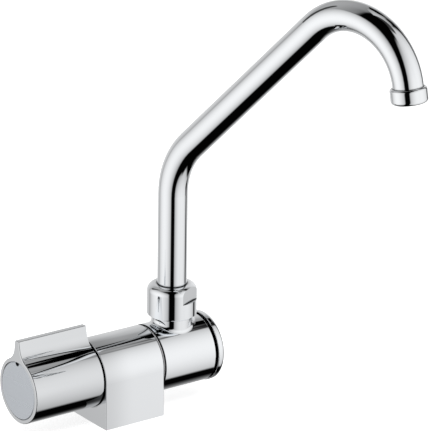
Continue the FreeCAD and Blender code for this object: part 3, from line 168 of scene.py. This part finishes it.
class Nodes:
    """a short way to write a node tree"""

    def __init__(self, tree):
        self.tree = tree
        tree.nodes.clear()

    def add(self, kind, inputs=None, **settings):
        node = self.tree.nodes.new(kind)
        for name, setting in settings.items():
            setattr(node, name, setting)
        for name, source in (inputs or {}).items():
            self.feed(source, node.inputs[name])
        return node

    def feed(self, source, socket):
        """links a socket, or sets a plain value"""
        if isinstance(source, bpy.types.NodeSocket):
            self.tree.links.new(source, socket)
        else:
            socket.default_value = source

    def math(self, operation, *sources, clamp=False):
        node = self.add("ShaderNodeMath", operation=operation, use_clamp=clamp)
        for socket, source in zip(node.inputs, sources):
            self.feed(source, socket)
        return node.outputs[0]

    def parts(self, vector):
        """a vector's X, Y and Z outputs"""
        return self.add("ShaderNodeSeparateXYZ", {0: vector}).outputs

    def mix(self, share, first, second):
        """a colour between two others, the second by that share"""
        node = self.add("ShaderNodeMix", data_type="RGBA")
        self.feed(share, node.inputs["Factor"])
        self.feed(first, node.inputs[MIX_FIRST])
        self.feed(second, node.inputs[MIX_SECOND])
        return node.outputs[MIX_RESULT]

    def spread(self, source, low, high, to_low, to_high, smooth=False):
        """maps one range of a number onto another"""
        kind = "SMOOTHSTEP" if smooth else "LINEAR"
        limits = {"From Min": low, "From Max": high, "To Min": to_low, "To Max": to_high}
        node = self.add("ShaderNodeMapRange", limits, interpolation_type=kind)
        self.feed(source, node.inputs["Value"])
        return node.outputs["Result"]


def make_world():
    """white behind the object, and a plain soft light on it"""
    world = bpy.data.worlds.new("world")
    bpy.context.scene.world = world
    world.use_nodes = True
    tree = Nodes(world.node_tree)
    path = tree.add("ShaderNodeLightPath")
    seen = tree.math("MAXIMUM", path.outputs["Is Camera Ray"], path.outputs["Is Glossy Ray"])
    seen = tree.math("MAXIMUM", seen, path.outputs["Is Transmission Ray"])
    strength = tree.spread(seen, 0.0, 1.0, FILL_LIGHT, 1.0)
    light = tree.add("ShaderNodeBackground", {"Color": grey(1), "Strength": strength})
    tree.add("ShaderNodeOutputWorld", {"Surface": light.outputs[0]})


def floor_paper():
    """matt white paper that glows a little towards the camera"""
    paper = bpy.data.materials.new("floor_paper")
    paper.use_nodes = True
    tree = Nodes(paper.node_tree)
    matt = tree.add("ShaderNodeBsdfDiffuse", {"Color": grey(PAPER_GREY)})
    path = tree.add("ShaderNodeLightPath")
    glow = tree.math("MULTIPLY", path.outputs["Is Camera Ray"], FLOOR_GLOW)
    lit = tree.add("ShaderNodeEmission", {"Color": grey(1), "Strength": glow})
    both = tree.add("ShaderNodeAddShader", {0: matt.outputs[0], 1: lit.outputs[0]})
    tree.add("ShaderNodeOutputMaterial", {"Surface": both.outputs[0]})
    return paper


def make_floor():
    """the white table, which keeps the object's soft shadow"""
    half = FLOOR_SIZE / 2
    points = [(-half, -half, 0), (half, -half, 0), (half, half, 0), (-half, half, 0)]
    mesh = bpy.data.meshes.new("floor")
    mesh.from_pydata(points, [], [(0, 1, 2, 3)])
    mesh.materials.append(floor_paper())
    floor = bpy.data.objects.new("floor", mesh)
    bpy.context.scene.collection.objects.link(floor)
    floor.visible_glossy = False


def ball_mesh(name, radius, rows, columns):
    """a ball of level rows, counted from its lowest point"""
    points = []
    for row in range(rows + 1):
        height = rad(-90 + 180 * row / rows)
        for column in range(columns):
            turn = 2 * math.pi * column / columns
            points.append((
                radius * math.cos(height) * math.sin(turn),
                -radius * math.cos(height) * math.cos(turn),
                radius * math.sin(height)))
    faces = [
        (row * columns + column, row * columns + (column + 1) % columns,
         (row + 1) * columns + (column + 1) % columns, (row + 1) * columns + column)
        for row in range(rows) for column in range(columns)
    ]
    mesh = bpy.data.meshes.new(name)
    mesh.from_pydata(points, [], faces)
    return mesh


def make_tent():
    """the light tent, seen only in reflections: white walls with dark gaps between them"""
    mesh = ball_mesh("tent", TENT_RADIUS, TENT_ROWS, TENT_COLUMNS)
    mesh.materials.append(tent_cloth())
    tent = bpy.data.objects.new("tent", mesh)
    tent.location = TENT_CENTRE
    tent.rotation_euler = (0, 0, rad(-CAMERA_TURN))
    bpy.context.scene.collection.objects.link(tent)
    tent.visible_camera = False
    tent.visible_diffuse = False
    tent.visible_shadow = False


def tent_cloth():
    """the tent's light as a function of turn and height inside it"""
    cloth = bpy.data.materials.new("tent_cloth")
    cloth.use_nodes = True
    tree = Nodes(cloth.node_tree)
    place = tree.add("ShaderNodeTexCoord")
    way = tree.add("ShaderNodeVectorMath", {0: place.outputs["Object"]}, operation="NORMALIZE")
    parts = tree.parts(way.outputs[0])
    towards = tree.math("MULTIPLY", parts["Y"], -1.0)
    turn = tree.math("DEGREES", tree.math("ARCTAN2", parts["X"], towards))
    height = tree.math("DEGREES", tree.math("ARCSINE", parts["Z"]))
    light = DARK_ROOM
    for panel in CLOTHS.values():
        light = tree.math("MAXIMUM", light, panel_light(tree, turn, height, panel, CLOTH_FALL))
    for fold in FOLDS.values():
        left = tree.math("SUBTRACT", 1.0, panel_light(tree, turn, height, fold, FOLD_FALL))
        light = tree.math("MULTIPLY", light, left)
    glow = tree.add("ShaderNodeEmission", {"Color": grey(1), "Strength": light})
    tree.add("ShaderNodeOutputMaterial", {"Surface": glow.outputs[0]})
    return cloth


def panel_light(tree, turn, height, panel, fall):
    """one rounded cloth: brightest in its middle, gone past its soft edge"""
    left, right, foot, top, strength, corner, soft = panel
    across = tree.math("WRAP", tree.math("SUBTRACT", turn, (left + right) / 2), 180.0, -180.0)
    across = tree.math("DIVIDE", tree.math("ABSOLUTE", across), (right - left) / 2)
    along = tree.math("SUBTRACT", height, (foot + top) / 2)
    along = tree.math("DIVIDE", tree.math("ABSOLUTE", along), (top - foot) / 2)
    reach = tree.math("ADD", tree.math("POWER", across, corner), tree.math("POWER", along, corner))
    reach = tree.math("POWER", reach, 1.0 / corner)
    edge = tree.spread(reach, 1.0 - soft, 1.0 + soft, strength, 0.0, smooth=True)
    far = tree.math("ADD", tree.math("POWER", across, 2.0), tree.math("POWER", along, 2.0))
    return tree.math("MULTIPLY", edge, tree.math("MULTIPLY_ADD", far, -fall, 1.0, clamp=True))


def make_lamp():
    """one large soft lamp overhead, for the shadow on the table"""
    lamp = bpy.data.lights.new("key_light", "AREA")
    lamp.shape = "DISK"
    lamp.size = LAMP_SIZE
    lamp.energy = LAMP_POWER
    item = bpy.data.objects.new("key_light", lamp)
    item.location = LAMP_PLACE
    item.rotation_euler = (LAMP_AIM - LAMP_PLACE).to_track_quat("-Z", "Y").to_euler()
    item.visible_glossy = False
    bpy.context.scene.collection.objects.link(item)


def new_material(name, metallic):
    """an empty material: itself, its tree, its shader and the place on the object"""
    material = bpy.data.materials.new(name)
    material.use_nodes = True
    tree = Nodes(material.node_tree)
    shader = tree.add("ShaderNodeBsdfPrincipled", {"Metallic": metallic})
    tree.add("ShaderNodeOutputMaterial", {"Surface": shader.outputs[0]})
    place = tree.add("ShaderNodeTexCoord")
    return material, tree, shader, place.outputs["Object"]


def noise(tree, place, scale, detail=2.0, stretch=(1.0, 1.0, 1.0)):
    """a noise field in real size: scale is in waves per metre"""
    mapped = tree.add("ShaderNodeMapping", {"Vector": place, "Scale": stretch})
    field = tree.add("ShaderNodeTexNoise", {"Vector": mapped.outputs[0], "Scale": scale, "Detail": detail})
    return field.outputs["Fac"]


def bump(tree, shader, height, depth):
    """raises the surface by a height field of that depth"""
    node = tree.add("ShaderNodeBump", {"Height": height, "Distance": depth, "Strength": 1.0})
    tree.feed(node.outputs[0], shader.inputs["Normal"])


def crease_shade(tree):
    """painted shade: 0 in narrow gaps and creases, where the colour is darkened, 1 on open surfaces and
    next to the table
    """
    node = tree.add("ShaderNodeAmbientOcclusion", {"Distance": CREASE_REACH}, samples=CREASE_SAMPLES)
    gap = tree.spread(node.outputs["AO"], CREASE_CLOSED, CREASE_OPEN, 0.0, 1.0, smooth=True)
    place = tree.add("ShaderNodeNewGeometry")
    level = tree.parts(place.outputs["Position"])["Z"]
    low = tree.spread(level, CREASE_REACH, 2 * CREASE_REACH, 1.0, 0.0)
    return tree.math("MAXIMUM", gap, low)


def seam_shade(tree, place, washer):
    """painted shade: 0 on the two rims beside the slide washer, where the seam's dark lines are painted, 1
    elsewhere
    """
    left, right = extent(washer, X_AXIS)
    half = (right - left) / 2 + RIM_WIDTH
    parts = tree.parts(place)
    away = tree.math("ABSOLUTE", tree.math("SUBTRACT", parts["X"], (left + right) / 2))
    clear = tree.spread(away, RIM_DARK * half, half, 0.0, 1.0)
    low = tree.spread(parts["Z"], RIM_FOOT, RIM_FULL * RIM_FOOT, 1.0, 0.0)
    return tree.math("MAXIMUM", clear, low)


def knob_side_shade(tree, place, block):
    """painted shade: the brightness that is left, less on the knob's side of the block's middle"""
    knob_side, spout_side = extent(block, X_AXIS)
    middle = (knob_side + spout_side) / 2
    return tree.spread(tree.parts(place)["X"], knob_side, middle, SIDE_SHADE_LEFT, 1.0, smooth=True)


def polished_chrome(nodes):
    """bright chrome: faint unevenness under the plating, a few wiped patches, painted shade in creases and
    at the washer's seam, and painted shade towards the knob
    """
    cool, bright, shade_colour = (0.905, 0.922, 0.942, 1), (0.935, 0.950, 0.966, 1), (0.02, 0.02, 0.021, 1)
    patch_edge, patch_middle = 0.45, 0.75
    clean, wiped = 0.008, 0.030
    material, tree, shader, place = new_material("polished_chrome", 1.0)
    tint = tree.mix(noise(tree, place, scale=22.0, detail=3.0), cool, bright)
    # painted shade: the colour goes to near black in narrow gaps and creases, and on the rims beside the
    # slide washer
    unshaded = tree.math("MULTIPLY", crease_shade(tree), seam_shade(tree, place, nodes["slide_washer"]))
    shade = tree.mix(unshaded, shade_colour, tint)
    # painted shade: the plating's colour is darker towards the knob's side
    left = knob_side_shade(tree, place, nodes["base_block"])
    side_shaded = tree.add("ShaderNodeVectorMath", {0: shade, "Scale": left}, operation="SCALE")
    tree.feed(side_shaded.outputs[0], shader.inputs["Base Color"])
    patches = noise(tree, place, scale=35.0, detail=5.0, stretch=(1.0, 1.0, 0.6))
    rough = tree.spread(patches, patch_edge, patch_middle, clean, wiped, smooth=True)
    tree.feed(rough, shader.inputs["Roughness"])
    bump(tree, shader, noise(tree, place, scale=70.0, detail=1.0), depth=0.00001)
    return material


def satin_chrome():
    """the cover's satin plating, drawn in fine level strokes"""
    dark, light = (0.68, 0.715, 0.762, 1), (0.71, 0.744, 0.788, 1)
    smoothest, roughest = 0.26, 0.36
    material, tree, shader, place = new_material("satin_chrome", 1.0)
    strokes = noise(tree, place, scale=900.0, stretch=(1.0, 0.04, 1.0))
    tree.feed(tree.mix(strokes, dark, light), shader.inputs["Base Color"])
    rough = tree.spread(strokes, NOISE_LOW, NOISE_HIGH, smoothest, roughest)
    tree.feed(rough, shader.inputs["Roughness"])
    bump(tree, shader, strokes, depth=0.000002)
    return material


def turned_metal(name, dark, light, rough):
    """machined metal with fine turning marks"""
    unevenness = 0.06
    material, tree, shader, place = new_material(name, 1.0)
    marks = noise(tree, place, scale=900.0, detail=3.0, stretch=(1.0, 0.25, 0.25))
    tree.feed(tree.mix(marks, dark, light), shader.inputs["Base Color"])
    uneven = tree.spread(marks, NOISE_LOW, NOISE_HIGH, rough - unevenness, rough + unevenness)
    tree.feed(uneven, shader.inputs["Roughness"])
    bump(tree, shader, marks, depth=0.00001)
    return material


def moulded(name, dark, light, rough, grain=1800.0, depth=0.000008):
    """a moulded plastic, rubber or ceramic with a fine even grain"""
    unevenness = 0.05
    material, tree, shader, place = new_material(name, 0.0)
    clouds = noise(tree, place, scale=140.0, detail=4.0)
    tree.feed(tree.mix(clouds, dark, light), shader.inputs["Base Color"])
    fine = noise(tree, place, grain)
    uneven = tree.spread(fine, NOISE_LOW, NOISE_HIGH, rough - unevenness, rough + unevenness)
    tree.feed(uneven, shader.inputs["Roughness"])
    bump(tree, shader, fine, depth)
    return material


def make_materials(nodes):
    """one material for each of the record's slots: the darker and the lighter colour, and the roughness"""
    return {
        "polished_chrome": polished_chrome(nodes),
        "satin_chrome": satin_chrome(),
        "plain_brass": turned_metal("plain_brass", (0.62, 0.45, 0.19, 1), (0.83, 0.65, 0.34, 1), 0.30),
        "stainless_steel": turned_metal("stainless_steel", grey(0.50), (0.68, 0.68, 0.67, 1), 0.28),
        "spring_steel": turned_metal("spring_steel", (0.17, 0.17, 0.18, 1), (0.30, 0.30, 0.32, 1), 0.36),
        "seal_rubber": moulded("seal_rubber", (0.012, 0.012, 0.013, 1), grey(0.028), 0.55),
        "acetal": moulded("acetal", (0.40, 0.40, 0.41, 1), (0.50, 0.50, 0.51, 1), 0.38),
        "fibre": moulded(
            "fibre", (0.30, 0.07, 0.05, 1), (0.46, 0.13, 0.09, 1), 0.75, grain=900.0, depth=0.00003),
        "ceramic": moulded("ceramic", (0.80, 0.80, 0.77, 1), (0.88, 0.88, 0.86, 1), 0.22),
        "grey_plastic": moulded("grey_plastic", (0.42, 0.44, 0.46, 1), (0.52, 0.54, 0.56, 1), 0.30),
    }


def dress(frame):
    """gives each node the material of its slot"""
    materials = make_materials(frame["nodes"])
    slots = {part["node"]: part["material_slot"] for part in frame["record"]["subparts"]}
    for name, item in frame["nodes"].items():
        finish = materials[slots[name]]
        for index in range(max(1, len(item.data.materials))):
            if index >= len(item.data.materials):
                item.data.materials.append(finish)
            item.material_slots[index].material = finish


empty_scene()
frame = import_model()
make_camera()
make_world()
make_floor()
make_tent()
make_lamp()
dress(frame)
bpy.context.scene.view_settings.view_transform = "Standard"
